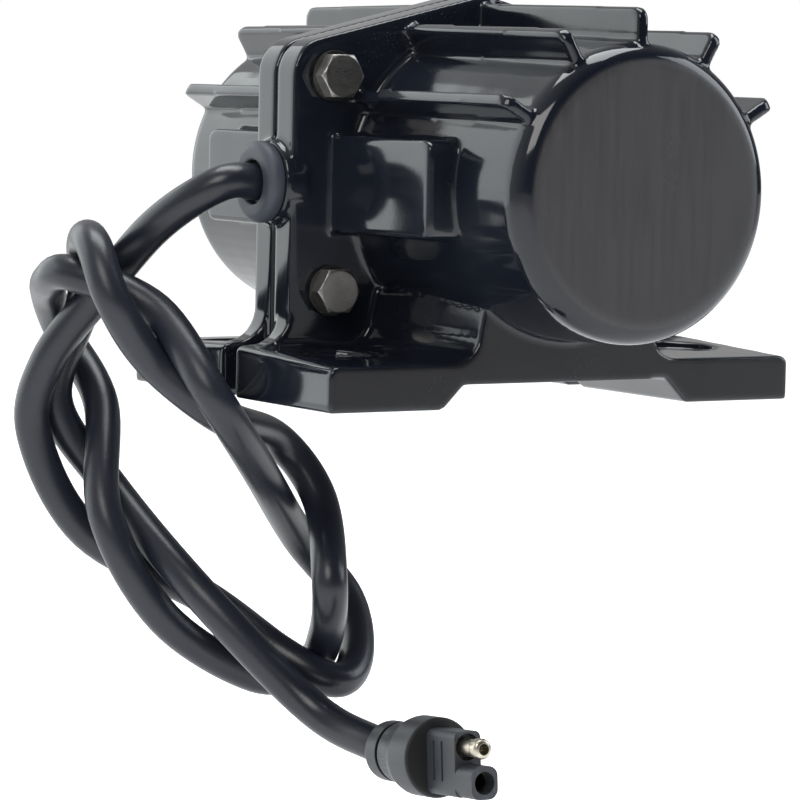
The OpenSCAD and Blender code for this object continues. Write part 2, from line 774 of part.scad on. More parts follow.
spacer(weight_y, far_bearing_y - weight_y);  // far_spacer
inner_race(near_bearing_y);  // near_inner_race
inner_race(far_bearing_y);  // far_inner_race
ball_cage(near_bearing_y);  // near_ball_cage
balls(near_bearing_y);  // near_balls
ball_cage(far_bearing_y);  // far_ball_cage
balls(far_bearing_y);  // far_balls
brush(-1);  // brush_left
brush(1);  // brush_right
power_cable();
plug_boot();
plug_body();
plug_pin();
plug_contact();
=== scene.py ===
import json
import math

import bmesh
import bpy
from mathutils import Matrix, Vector
from mathutils.bvhtree import BVHTree


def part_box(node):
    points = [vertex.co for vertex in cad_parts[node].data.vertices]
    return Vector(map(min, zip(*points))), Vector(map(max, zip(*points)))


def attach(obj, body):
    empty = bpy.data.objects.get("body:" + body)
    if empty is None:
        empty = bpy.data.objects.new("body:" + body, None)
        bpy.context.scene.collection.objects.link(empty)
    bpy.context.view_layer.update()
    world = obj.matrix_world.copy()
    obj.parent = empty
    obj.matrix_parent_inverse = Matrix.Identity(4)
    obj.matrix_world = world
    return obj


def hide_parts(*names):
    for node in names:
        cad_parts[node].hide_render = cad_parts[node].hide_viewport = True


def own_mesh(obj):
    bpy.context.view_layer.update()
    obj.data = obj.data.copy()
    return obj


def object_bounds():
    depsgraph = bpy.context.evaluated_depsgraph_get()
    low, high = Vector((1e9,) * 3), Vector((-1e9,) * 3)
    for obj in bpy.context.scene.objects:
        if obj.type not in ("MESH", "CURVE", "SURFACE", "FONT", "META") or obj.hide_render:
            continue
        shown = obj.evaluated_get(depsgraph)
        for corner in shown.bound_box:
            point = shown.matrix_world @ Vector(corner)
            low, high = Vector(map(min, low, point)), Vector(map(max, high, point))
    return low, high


mm = 0.001

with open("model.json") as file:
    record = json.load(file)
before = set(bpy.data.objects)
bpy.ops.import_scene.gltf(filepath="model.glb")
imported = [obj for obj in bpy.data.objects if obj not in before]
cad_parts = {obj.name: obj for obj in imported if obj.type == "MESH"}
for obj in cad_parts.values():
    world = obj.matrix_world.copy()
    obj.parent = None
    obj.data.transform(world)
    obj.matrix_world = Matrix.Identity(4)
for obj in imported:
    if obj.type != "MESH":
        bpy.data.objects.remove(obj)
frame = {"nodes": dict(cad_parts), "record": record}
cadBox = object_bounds()
nodes = frame["nodes"]
print("frame loaded:", len(nodes), "nodes")


cameraSettings = {
    "yaw": 31.1,  # degrees from +Y towards +X
    "pitch": 4.89,  # degrees down
    "roll": -1.14,
    "lens": 179.5,
    "distance": 0.96,
    "aim": (-0.0186, -0.0035, -0.0017),
}


def addCamera(s):
    yaw, pitch, roll = (math.radians(s[k]) for k in ("yaw", "pitch", "roll"))
    forward = Vector((math.sin(yaw) * math.cos(pitch), math.cos(yaw) * math.cos(pitch), -math.sin(pitch)))
    level = Vector((math.cos(yaw), -math.sin(yaw), 0))
    right = math.cos(roll) * level + math.sin(roll) * forward.cross(level)
    up = right.cross(forward)
    data = bpy.data.cameras.new("viewCamera")
    data.lens = s["lens"]
    data.sensor_width = 36
    data.clip_start = 0.01
    camera = bpy.data.objects.new("viewCamera", data)
    bpy.context.scene.collection.objects.link(camera)
    turn = camera.matrix_world.to_3x3()
    turn.col[0], turn.col[1], turn.col[2] = right, up, -forward
    camera.matrix_world = turn.to_4x4()
    camera.location = Vector(s["aim"]) - s["distance"] * forward
    bpy.context.scene.camera = camera


addCamera(cameraSettings)
print("camera ready")


def newGroup(name, inputs, outputs):
    group = bpy.data.node_groups.new(name, "ShaderNodeTree")
    for label, kind, value in inputs:
        socket = group.interface.new_socket(label, in_out="INPUT", socket_type=kind)
        if value is not None:
            socket.default_value = value
    for label, kind in outputs:
        group.interface.new_socket(label, in_out="OUTPUT", socket_type=kind)
    return group, group.nodes.new("NodeGroupInput"), group.nodes.new("NodeGroupOutput")


def addNode(tree, kind, **values):
    node = tree.nodes.new(kind)
    for key, value in values.items():
        if hasattr(node, key):
            setattr(node, key, value)
        else:
            node.inputs[key.replace("_", " ")].default_value = value
    return node


def addMath(tree, operation, a, b=0.5, clamp=False):
    node = tree.nodes.new("ShaderNodeMath")
    node.operation = operation
    node.use_clamp = clamp
    for slot, value in zip(node.inputs, (a, b)):
        if isinstance(value, (int, float)):
            slot.default_value = value
        else:
            tree.links.new(value, slot)
    return node.outputs[0]


def objectPoint(tree):
    return tree.nodes.new("ShaderNodeTexCoord").outputs["Object"]


def addNoise(tree, point, scale, detail=3, rough=0.5):
    noise = tree.nodes.new("ShaderNodeTexNoise")
    noise.inputs["Detail"].default_value = detail
    noise.inputs["Roughness"].default_value = rough
    tree.links.new(point, noise.inputs["Vector"])
    if isinstance(scale, (int, float)):
        noise.inputs["Scale"].default_value = scale
    else:
        tree.links.new(scale, noise.inputs["Scale"])
    return noise.outputs["Fac"]


def mapRange(tree, value, low, high, toLow=0.0, toHigh=1.0):
    node = tree.nodes.new("ShaderNodeMapRange")
    for slot, item in zip(list(node.inputs)[:5], (value, low, high, toLow, toHigh)):
        if isinstance(item, (int, float)):
            slot.default_value = item
        else:
            tree.links.new(item, slot)
    return node.outputs["Result"]


def makeSkinGroup():
    # slow and fast waviness of a coated or moulded skin
    group, take, give = newGroup(
        "skinRelief",
        [("Scale", "NodeSocketFloat", 300.0), ("Fine", "NodeSocketFloat", 0.3)],
        [("Height", "NodeSocketFloat"), ("Drift", "NodeSocketFloat")],
    )
    point = objectPoint(group)
    slow = addNoise(group, point, addMath(group, "MULTIPLY", take.outputs["Scale"], 0.12), 2)
    fast = addNoise(group, point, addMath(group, "MULTIPLY", take.outputs["Scale"], 4.0), 4, 0.6)
    height = addMath(group, "ADD", slow, addMath(group, "MULTIPLY", fast, take.outputs["Fine"]))
    group.links.new(height, give.inputs["Height"])
    group.links.new(slow, give.inputs["Drift"])
    return group


def makeSpeckGroup():
    # small scattered specks of dust or grit
    group, take, give = newGroup(
        "dustSpecks",
        [
            ("Scale", "NodeSocketFloat", 900.0),
            ("Size", "NodeSocketFloat", 0.12),
            ("Patch", "NodeSocketFloat", 0.55),
        ],
        [("Mask", "NodeSocketFloat")],
    )
    point = objectPoint(group)
    cells = addNode(group, "ShaderNodeTexVoronoi", feature="F1")
    group.links.new(point, cells.inputs["Vector"])
    group.links.new(take.outputs["Scale"], cells.inputs["Scale"])
    spots = mapRange(group, cells.outputs["Distance"], take.outputs["Size"], 0.0)
    patch = addNoise(group, point, addMath(group, "MULTIPLY", take.outputs["Scale"], 0.05), 3)
    where = mapRange(group, patch, take.outputs["Patch"], addMath(group, "ADD", take.outputs["Patch"], 0.12))
    group.links.new(addMath(group, "MULTIPLY", spots, where, True), give.inputs["Mask"])
    return group


def makeWearGroup():
    # bright or pale convex edges, broken up by noise
    group, take, give = newGroup(
        "edgeWear",
        [
            ("Start", "NodeSocketFloat", 0.53),
            ("Width", "NodeSocketFloat", 0.1),
            ("Scale", "NodeSocketFloat", 400.0),
        ],
        [("Mask", "NodeSocketFloat")],
    )
    sharp = group.nodes.new("ShaderNodeNewGeometry").outputs["Pointiness"]
    full = addMath(group, "ADD", take.outputs["Start"], take.outputs["Width"])
    edge = mapRange(group, sharp, take.outputs["Start"], full)
    patches = addNoise(group, objectPoint(group), take.outputs["Scale"], 4, 0.6)
    broken = mapRange(group, patches, 0.35, 0.65, 0.4, 1.0)
    group.links.new(addMath(group, "MULTIPLY", edge, broken, True), give.inputs["Mask"])
    return group


def makeBrushedGroup():
    # fine drawn or ground lines; Stretch holds the scale along each axis
    group, take, give = newGroup(
        "brushedLines",
        [("Stretch", "NodeSocketVector", (4000.0, 4000.0, 200.0))],
        [("Height", "NodeSocketFloat"), ("Tone", "NodeSocketFloat")],
    )
    stretched = addNode(group, "ShaderNodeVectorMath", operation="MULTIPLY")
    group.links.new(objectPoint(group), stretched.inputs[0])
    group.links.new(take.outputs["Stretch"], stretched.inputs[1])
    lines = addNoise(group, stretched.outputs["Vector"], 1.0, 3, 0.65)
    group.links.new(lines, give.inputs["Height"])
    group.links.new(mapRange(group, lines, 0.3, 0.7, 0.0, 1.0), give.inputs["Tone"])
    return group


skinGroup = makeSkinGroup()
speckGroup = makeSpeckGroup()
wearGroup = makeWearGroup()
brushedGroup = makeBrushedGroup()


def placeGroup(tree, group, **values):
    node = tree.nodes.new("ShaderNodeGroup")
    node.node_tree = group
    for key, value in values.items():
        node.inputs[key].default_value = value
    return node


def mixColour(tree, factor, a, b):
    node = tree.nodes.new("ShaderNodeMix")
    node.data_type = "RGBA"
    for slot, value in ((node.inputs["Factor"], factor), (node.inputs["A"], a), (node.inputs["B"], b)):
        if isinstance(value, bpy.types.NodeSocket):
            tree.links.new(value, slot)
        elif isinstance(value, (int, float)):
            slot.default_value = value
        else:
            slot.default_value = (*value, 1)
    return node.outputs["Result"]


def startMaterial(name, look):
    material = bpy.data.materials.new(name)
    material.use_nodes = True
    tree = material.node_tree
    shader = tree.nodes["Principled BSDF"]
    shader.inputs["Metallic"].default_value = look.get("metallic", 0.0)
    shader.inputs["Specular IOR Level"].default_value = look.get("specular", 0.5)
    shader.inputs["Coat Weight"].default_value = look.get("coat", 0.0)
    shader.inputs["Coat Roughness"].default_value = look.get("coatRoughness", 0.1)
    material.diffuse_color = (*look["colour"], 1)
    return material, tree, shader


def addBump(tree, shader, height, depth, strength=1.0):
    bump = tree.nodes.new("ShaderNodeBump")
    bump.inputs["Strength"].default_value = strength
    bump.inputs["Distance"].default_value = depth
    tree.links.new(height, bump.inputs["Height"])
    tree.links.new(bump.outputs["Normal"], shader.inputs["Normal"])


def addAgeing(tree, shader, look, skin, base, rough):
    # worn edges and dust go over the base colour; dust is rougher than the skin
    size, patch = look["dustSize"], look["dustPatch"]
    dust = placeGroup(tree, speckGroup, Scale=look["dustScale"], Size=size, Patch=patch)
    wear = placeGroup(tree, wearGroup, Start=look["wearStart"], Width=look["wearWidth"])
    wornShare = addMath(tree, "MULTIPLY", wear.outputs["Mask"], look["wear"])
    worn = mixColour(tree, wornShare, base, look["wearColour"])
    dustShare = addMath(tree, "MULTIPLY", dust.outputs["Mask"], look["dust"])
    tree.links.new(mixColour(tree, dustShare, worn, look["dustColour"]), shader.inputs["Base Color"])
    dustRough = addMath(tree, "MULTIPLY", dust.outputs["Mask"], 0.3)
    tree.links.new(addMath(tree, "ADD", rough, dustRough, True), shader.inputs["Roughness"])
    addBump(tree, shader, skin.outputs["Height"], look["bump"])


def makeCoated(name, look):
    # coated or moulded skin: tone drift, dust, worn edges and a wavy surface
    material, tree, shader = startMaterial(name, look)
    skin = placeGroup(tree, skinGroup, Scale=look["scale"], Fine=look["fine"])
    drift = mapRange(tree, skin.outputs["Drift"], 0.3, 0.7)
    base = mixColour(tree, drift, look["colour"], look["colourTwo"])
    rough = mapRange(tree, skin.outputs["Drift"], 0.25, 0.75, *look["rough"])
    addAgeing(tree, shader, look, skin, base, rough)
    return material


def makeMetal(name, look):
    # bare metal: drawn or ground lines, tone drift and brighter edges
    material, tree, shader = startMaterial(name, look)
    lines = placeGroup(tree, brushedGroup, Stretch=look["stretch"])
    skin = placeGroup(tree, skinGroup, Scale=look["scale"], Fine=0.4)
    wear = placeGroup(tree, wearGroup, Start=look.get("wearStart", 0.54), Width=0.08)
    tone = mixColour(tree, lines.outputs["Tone"], look["colour"], look["colourTwo"])
    shade = mapRange(tree, skin.outputs["Drift"], 0.35, 0.7, 0.0, look.get("stain", 0.25))
    stained = mixColour(tree, shade, tone, look["stainColour"])
    edgeShare = addMath(tree, "MULTIPLY", wear.outputs["Mask"], look["wear"])
    edged = mixColour(tree, edgeShare, stained, look["wearColour"])
    tree.links.new(edged, shader.inputs["Base Color"])
    rough = mapRange(tree, lines.outputs["Tone"], 0.0, 1.0, *look["rough"])
    stainRough = addMath(tree, "MULTIPLY", shade, 0.3)
    tree.links.new(addMath(tree, "ADD", rough, stainRough, True), shader.inputs["Roughness"])
    addBump(tree, shader, lines.outputs["Height"], look["bump"])
    return material


castLook = {
    "gloss": {"colour": (0.0045, 0.0055, 0.009), "colourTwo": (0.008, 0.010, 0.015), "rough": (0.06, 0.14)},
    "satin": {"colour": (0.0205, 0.020, 0.0225), "colourTwo": (0.0255, 0.025, 0.027), "rough": (0.4, 0.5)},
    # painted shade: the foot faces, set back under the cups, are coloured much darker than the cup ends
    "shadedFootFace": (0.0035, 0.0035, 0.005),
    "colour": (0.006, 0.007, 0.011), "specular": 0.5, "coat": 0.0,
    "scale": 220.0, "fine": 0.012, "bump": 0.0005,
    "dustScale": 1300.0, "dustSize": 0.16, "dustPatch": 0.56, "dust": 0.5, "dustColour": (0.25, 0.3, 0.4),
    "wearStart": 0.56, "wearWidth": 0.12, "wear": 0.25, "wearColour": (0.06, 0.07, 0.09),
    "flatFrom": 0.91,  # how squarely a face looks along the rotor axis before it turns satin
    "flatFull": 0.975,
    "capFrom": 0.0775,  # metres from the joint plane where the flat ends of the cups begin
    "footFrom": 0.044,
    "footTop": 0.032,  # satin foot faces end below this height
    "fade": 0.001,
    "streaks": (700.0, 700.0, 60.0),
}

coatedLooks = {
    "grommetRubber": {
        "colour": (0.022, 0.026, 0.038), "colourTwo": (0.036, 0.041, 0.055), "rough": (0.45, 0.6),
        "specular": 0.5, "scale": 500.0, "fine": 0.5, "bump": 0.00008,
        "dust": 0.6, "dustScale": 1700.0, "dustSize": 0.2, "dustPatch": 0.56,
        "dustColour": (0.25, 0.3, 0.38),
        "wear": 0.35, "wearStart": 0.52, "wearWidth": 0.1, "wearColour": (0.08, 0.09, 0.12),
    },
    "cableSheath": {
        "colour": (0.0068, 0.0082, 0.0135), "colourTwo": (0.0115, 0.0135, 0.021), "rough": (0.27, 0.38),
        "specular": 0.5, "scale": 260.0, "fine": 0.35, "bump": 0.00012,
        "dust": 0.3, "dustScale": 1500.0, "dustSize": 0.12, "dustPatch": 0.58,
        "dustColour": (0.14, 0.15, 0.18),
        "wear": 0.1, "wearStart": 0.55, "wearWidth": 0.1, "wearColour": (0.04, 0.04, 0.05),
    },
    "plugNylon": {
        "colour": (0.02, 0.0225, 0.028), "colourTwo": (0.03, 0.033, 0.04), "rough": (0.38, 0.5),
        "specular": 0.5, "scale": 520.0, "fine": 0.45, "bump": 0.00007,
        "dust": 0.2, "dustScale": 1800.0, "dustSize": 0.12, "dustPatch": 0.6,
        "dustColour": (0.2, 0.2, 0.22),
        "wear": 0.3, "wearStart": 0.53, "wearWidth": 0.09, "wearColour": (0.09, 0.1, 0.115),
    },
    # painted shade: the boot's flat front face is coloured darker than its sides, as if in shade
    "plugFrontShade": {
        "colour": (0.006, 0.006, 0.0065), "colourTwo": (0.009, 0.009, 0.01), "rough": (0.5, 0.62),
        "specular": 0.35, "scale": 520.0, "fine": 0.45, "bump": 0.00006,
        "dust": 0.2, "dustScale": 1800.0, "dustSize": 0.12, "dustPatch": 0.6,
        "dustColour": (0.08, 0.08, 0.09),
        "wear": 0.2, "wearStart": 0.54, "wearWidth": 0.09, "wearColour": (0.03, 0.03, 0.034),
    },
    "gasketRubber": {
        "colour": (0.01, 0.01, 0.011), "colourTwo": (0.018, 0.018, 0.019), "rough": (0.6, 0.75),
        "scale": 600.0, "fine": 0.5, "bump": 0.00006,
        "dust": 0.2, "dustScale": 1500.0, "dustSize": 0.12, "dustPatch": 0.6,
        "dustColour": (0.1, 0.1, 0.11),
        "wear": 0.1, "wearStart": 0.55, "wearWidth": 0.1, "wearColour": (0.05, 0.05, 0.05),
    },
    "ferrite": {
        "colour": (0.05, 0.05, 0.055), "colourTwo": (0.085, 0.085, 0.09), "rough": (0.6, 0.8),
        "scale": 700.0, "fine": 0.8, "bump": 0.0001,
        "dust": 0.3, "dustScale": 1200.0, "dustSize": 0.15, "dustPatch": 0.5,
        "dustColour": (0.12, 0.12, 0.12),
        "wear": 0.5, "wearStart": 0.53, "wearWidth": 0.1, "wearColour": (0.16, 0.16, 0.16),
    },
    "phenolicBoard": {
        "colour": (0.16, 0.075, 0.03), "colourTwo": (0.24, 0.12, 0.05), "rough": (0.4, 0.6),
        "scale": 900.0, "fine": 0.6, "bump": 0.00006,
        "dust": 0.2, "dustScale": 1200.0, "dustSize": 0.12, "dustPatch": 0.6, "dustColour": (0.3, 0.2, 0.1),
        "wear": 0.3, "wearStart": 0.54, "wearWidth": 0.1, "wearColour": (0.35, 0.22, 0.1),
    },
    "leadInsulation": {
        "colour": (0.28, 0.02, 0.015), "colourTwo": (0.36, 0.03, 0.02), "rough": (0.3, 0.42),
        "scale": 500.0, "fine": 0.3, "bump": 0.00005,
        "dust": 0.1, "dustScale": 1200.0, "dustSize": 0.1, "dustPatch": 0.6, "dustColour": (0.4, 0.2, 0.2),
        "wear": 0.1, "wearStart": 0.56, "wearWidth": 0.1, "wearColour": (0.4, 0.1, 0.08),
    },
    "weightIron": {
        "colour": (0.09, 0.09, 0.095), "colourTwo": (0.14, 0.135, 0.13), "rough": (0.5, 0.68),
        "metallic": 0.7,
        "scale": 600.0, "fine": 0.8, "bump": 0.00018,
        "dust": 0.3, "dustScale": 1000.0, "dustSize": 0.18, "dustPatch": 0.52,
        "dustColour": (0.16, 0.1, 0.07),
        "wear": 0.5, "wearStart": 0.53, "wearWidth": 0.1, "wearColour": (0.35, 0.35, 0.36),
    },
    "screwBlack": {
        "colour": (0.02, 0.02, 0.022), "colourTwo": (0.035, 0.033, 0.033), "rough": (0.35, 0.5),
        "metallic": 0.5,
        "scale": 800.0, "fine": 0.4, "bump": 0.00004,
        "dust": 0.1, "dustScale": 1500.0, "dustSize": 0.1, "dustPatch": 0.6, "dustColour": (0.1, 0.1, 0.1),
        "wear": 0.6, "wearStart": 0.52, "wearWidth": 0.08, "wearColour": (0.3, 0.3, 0.31),
    },
    "brushCarbon": {
        "colour": (0.025, 0.025, 0.028), "colourTwo": (0.045, 0.045, 0.048), "rough": (0.5, 0.65),
        "scale": 900.0, "fine": 0.8, "bump": 0.00006,
        "dust": 0.3, "dustScale": 2000.0, "dustSize": 0.2, "dustPatch": 0.5,
        "dustColour": (0.2, 0.17, 0.14),
        "wear": 0.3, "wearStart": 0.53, "wearWidth": 0.1, "wearColour": (0.1, 0.1, 0.1),
    },
}

metalLooks = {
    "boltSteel": {
        "colour": (0.25, 0.24, 0.228), "colourTwo": (0.34, 0.328, 0.31), "rough": (0.24, 0.36),
        "metallic": 1.0,
        "stretch": (900.0, 3500.0, 3500.0), "scale": 900.0, "stain": 0.5, "stainColour": (0.1, 0.095, 0.09),
        "wear": 0.9, "wearStart": 0.51, "wearColour": (0.86, 0.84, 0.8), "bump": 0.00002,
    },
    "washerSteel": {
        "colour": (0.05, 0.049, 0.048), "colourTwo": (0.08, 0.078, 0.075), "rough": (0.3, 0.42),
        "metallic": 1.0,
        "stretch": (2500.0, 2500.0, 2500.0), "scale": 900.0, "stain": 0.4,
        "stainColour": (0.03, 0.03, 0.03),
        "wear": 0.5, "wearColour": (0.4, 0.39, 0.38), "bump": 0.00002,
    },
    "plugNickel": {
        "colour": (0.5, 0.46, 0.38), "colourTwo": (0.6, 0.56, 0.47), "rough": (0.2, 0.32), "metallic": 1.0,
        "stretch": (3000.0, 600.0, 3000.0), "scale": 1500.0, "stain": 0.3,
        "stainColour": (0.25, 0.22, 0.17),
        "wear": 0.5, "wearColour": (0.85, 0.82, 0.74), "bump": 0.00001,
    },
    # painted shade: the contact recessed in the socket is coloured darker, as if in the socket's shadow
    "socketPaintedShade": {
        "colour": (0.06, 0.057, 0.05), "colourTwo": (0.1, 0.095, 0.085), "rough": (0.35, 0.5),
        "metallic": 1.0,
        "stretch": (3000.0, 600.0, 3000.0), "scale": 1500.0, "stain": 0.4,
        "stainColour": (0.03, 0.03, 0.028),
        "wear": 0.2, "wearColour": (0.2, 0.19, 0.17), "bump": 0.00001,
    },
    "yokeSteel": {
        "colour": (0.3, 0.3, 0.31), "colourTwo": (0.4, 0.4, 0.41), "rough": (0.32, 0.46), "metallic": 1.0,
        "stretch": (3000.0, 150.0, 3000.0), "scale": 400.0, "stainColour": (0.14, 0.13, 0.13),
        "wear": 0.4, "wearColour": (0.65, 0.65, 0.66), "bump": 0.00002,
    },
    "bearingSteel": {
        "colour": (0.56, 0.57, 0.6), "colourTwo": (0.66, 0.67, 0.7), "rough": (0.08, 0.16), "metallic": 1.0,
        "stretch": (1500.0, 4000.0, 1500.0), "scale": 700.0, "stain": 0.1, "stainColour": (0.4, 0.4, 0.42),
        "wear": 0.4, "wearColour": (0.85, 0.85, 0.87), "bump": 0.000006,
    },
    "cageBrass": {
        "colour": (0.52, 0.37, 0.13), "colourTwo": (0.62, 0.46, 0.19), "rough": (0.28, 0.4),
        "metallic": 1.0,
        "stretch": (1500.0, 3000.0, 1500.0), "scale": 800.0, "stainColour": (0.3, 0.2, 0.08),
        "wear": 0.5, "wearColour": (0.8, 0.66, 0.36), "bump": 0.00002,
    },
    "springSteel": {
        "colour": (0.38, 0.38, 0.4), "colourTwo": (0.5, 0.5, 0.52), "rough": (0.2, 0.32), "metallic": 1.0,
        "stretch": (3000.0, 3000.0, 3000.0), "scale": 900.0, "stainColour": (0.22, 0.2, 0.18),
        "wear": 0.3, "wearColour": (0.7, 0.7, 0.72), "bump": 0.00001,
    },
    "shaftSteel": {
        "colour": (0.48, 0.49, 0.51), "colourTwo": (0.58, 0.59, 0.61), "rough": (0.16, 0.28),
        "metallic": 1.0,
        "stretch": (900.0, 5000.0, 900.0), "scale": 500.0, "stain": 0.15, "stainColour": (0.3, 0.29, 0.28),
        "wear": 0.4, "wearColour": (0.8, 0.8, 0.82), "bump": 0.00001,
    },
    "laminationSteel": {
        "colour": (0.16, 0.16, 0.17), "colourTwo": (0.3, 0.3, 0.31), "rough": (0.4, 0.55), "metallic": 1.0,
        "stretch": (60.0, 9000.0, 60.0), "scale": 500.0, "stain": 0.4, "stainColour": (0.1, 0.09, 0.085),
        "wear": 0.4, "wearColour": (0.5, 0.5, 0.5), "bump": 0.00006,
    },
    "copper": {
        "colour": (0.46, 0.17, 0.075), "colourTwo": (0.6, 0.26, 0.12), "rough": (0.26, 0.4),
        "metallic": 1.0,
        "stretch": (2600.0, 400.0, 2600.0), "scale": 900.0, "stain": 0.4, "stainColour": (0.2, 0.07, 0.035),
        "wear": 0.4, "wearColour": (0.8, 0.45, 0.25), "bump": 0.0001,
    },
}


def satinMask(tree, look):
    # the flat ends of the cups, and the flat foot faces low down, which also take painted shade
    coords = tree.nodes.new("ShaderNodeTexCoord")
    facing = tree.nodes.new("ShaderNodeSeparateXYZ")
    place = tree.nodes.new("ShaderNodeSeparateXYZ")
    tree.links.new(coords.outputs["Normal"], facing.inputs[0])
    tree.links.new(coords.outputs["Object"], place.inputs[0])
    squarely = addMath(tree, "ABSOLUTE", facing.outputs["Y"])
    flat = mapRange(tree, squarely, look["flatFrom"], look["flatFull"])
    away = addMath(tree, "ABSOLUTE", place.outputs["Y"])
    cap = mapRange(tree, away, look["capFrom"], look["capFrom"] + look["fade"])
    below = mapRange(tree, place.outputs["Z"], look["footTop"], look["footTop"] - 2 * look["fade"])
    out = mapRange(tree, away, look["footFrom"], look["footFrom"] + look["fade"])
    foot = addMath(tree, "MULTIPLY", out, below)
    return cap, addMath(tree, "MULTIPLY", flat, addMath(tree, "MAXIMUM", cap, foot), True)


def makeCastCoat(name, look):
    # gloss coat all over, with satin on the flat ends of the cups and feet; the foot faces are painted
    # darker, as shade under the cups
    material, tree, shader = startMaterial(name, look)
    skin = placeGroup(tree, skinGroup, Scale=look["scale"], Fine=look["fine"])
    tone = placeGroup(tree, brushedGroup, Stretch=look["streaks"]).outputs["Tone"]
    cap, satin = satinMask(tree, look)
    drift = mapRange(tree, skin.outputs["Drift"], 0.3, 0.7)
    gloss = mixColour(tree, drift, look["gloss"]["colour"], look["gloss"]["colourTwo"])
    streaked = mixColour(tree, tone, look["satin"]["colour"], look["satin"]["colourTwo"])
    # on the foot faces the satin colour gives way to the painted shade colour
    base = mixColour(tree, satin, gloss, mixColour(tree, cap, look["shadedFootFace"], streaked))
    glossRough = mapRange(tree, skin.outputs["Drift"], 0.25, 0.75, *look["gloss"]["rough"])
    satinRough = mapRange(tree, tone, 0.0, 1.0, *look["satin"]["rough"])
    rough = mapRange(tree, satin, 0.0, 1.0, glossRough, satinRough)
    addAgeing(tree, shader, look, skin, base, rough)
    return material


materials = {name: makeCoated(name, look) for name, look in coatedLooks.items()}
materials["castCoat"] = makeCastCoat("castCoat", castLook)
materials.update({name: makeMetal(name, look) for name, look in metalLooks.items()})
print("materials ready:", len(materials))


# materials of the CAD nodes, by the slot that each one names
slotMaterials = {
    "housing_coat": "castCoat", "gasket_rubber": "gasketRubber", "bolt_steel": "boltSteel",
    "washer_steel": "washerSteel", "grommet_rubber": "grommetRubber", "cable_jacket": "cableSheath",
    "yoke_steel": "yokeSteel", "ferrite": "ferrite", "bearing_steel": "bearingSteel",
    "cage_brass": "cageBrass",
    "spring_steel": "springSteel", "phenolic_board": "phenolicBoard", "holder_brass": "cageBrass",
    "lead_insulation": "leadInsulation", "shaft_steel": "shaftSteel", "lamination_steel": "laminationSteel",
    "copper": "copper", "weight_iron": "weightIron", "screw_black": "screwBlack",
    "brush_carbon": "brushCarbon",
    "plug_plastic": "plugNylon", "plug_nickel": "plugNickel",
}
nodeSlots = {part["node"]: part["material_slot"] for part in frame["record"]["subparts"]}
nodeMaterials = {name: materials[slotMaterials[slot]] for name, slot in nodeSlots.items()}
# the recessed contact takes the painted shade look
nodeMaterials["plug_contact"] = materials["socketPaintedShade"]

for nodeName, node in nodes.items():
    for slot in node.material_slots:
        slot.material = nodeMaterials[nodeName]


def newPiece(name, mesh, node, body="housing"):
    piece = bpy.data.objects.new(name, mesh)
    bpy.context.scene.collection.objects.link(piece)
    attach(piece, body)
    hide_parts(node)
    return piece


def applyModifiers(piece):
    seen = piece.evaluated_get(bpy.context.evaluated_depsgraph_get())
    mesh = bpy.data.meshes.new_from_object(seen)
    piece.modifiers.clear()
    old = piece.data
    piece.data = mesh
    bpy.data.meshes.remove(old)


def weldedCopy(node, name):
    mesh = nodes[node].data.copy()
    mesh.name = name
    shape = bmesh.new()
    shape.from_mesh(mesh)
    bmesh.ops.remove_doubles(shape, verts=shape.verts, dist=0.002 * mm)
    shape.to_mesh(mesh)
    shape.free()
    return mesh


def shadeSmooth(mesh):
    mesh.polygons.foreach_set("use_smooth", [True] * len(mesh.polygons))
    mesh.update()


# the cast halves are remeshed, so that every edge and crease is rounded
castSettings = {
    "voxel": 0.52 * mm,
    "smoothing": 11,  # passes, which round the edges as a casting's are
    "hold": 0.07 * mm,  # points this near the design surface go back onto it
    "finalSmoothing": 4,
    "keep": 0.35,  # share of the faces left at the end
}


def smoothMesh(piece, passes):
    soft = piece.modifiers.new("soft", "SMOOTH")
    soft.factor = 0.5
    soft.iterations = passes
    applyModifiers(piece)


def makeCasting(name, node, s):
    design = weldedCopy(node, name)
    corners = [v.co for v in design.vertices]
    surface = BVHTree.FromPolygons(corners, [p.vertices for p in design.polygons])
    piece = newPiece(name, design, node)
    remesh = piece.modifiers.new("remesh", "REMESH")
    remesh.mode = "VOXEL"
    remesh.voxel_size = s["voxel"]
    applyModifiers(piece)
    smoothMesh(piece, s["smoothing"])
    for vertex in piece.data.vertices:
        place, _, _, far = surface.find_nearest(vertex.co)
        if far < s["hold"]:
            vertex.co = vertex.co.lerp(place, 1 - far / s["hold"])
    smoothMesh(piece, s["finalSmoothing"])
    thin = piece.modifiers.new("thin", "DECIMATE")
    thin.ratio = s["keep"]
    applyModifiers(piece)
    mesh = piece.data
    mesh.materials.clear()
    mesh.materials.append(materials["castCoat"])
    shadeSmooth(mesh)
    print(name, "has", len(mesh.polygons), "faces")
    return piece


for castName, castNode in (("nearCasting", "near_housing"), ("farCasting", "far_housing")):
    makeCasting(castName, castNode, castSettings)


# fasteners and small moulded parts get softened edges
softenSettings = {
    "bolt": {"width": 0.16 * mm, "segments": 2, "angle": 25},
    "washer": {"width": 0.14 * mm, "segments": 2, "angle": 35},
    "plug": {"width": 0.22 * mm, "segments": 2, "angle": 35},
    "pin": {"width": 0.12 * mm, "segments": 2, "angle": 35},
    "frontShadeFrom": 0.55,  # how far a face of the boot turns to the front before it is black: painted shade on the flat front face
}


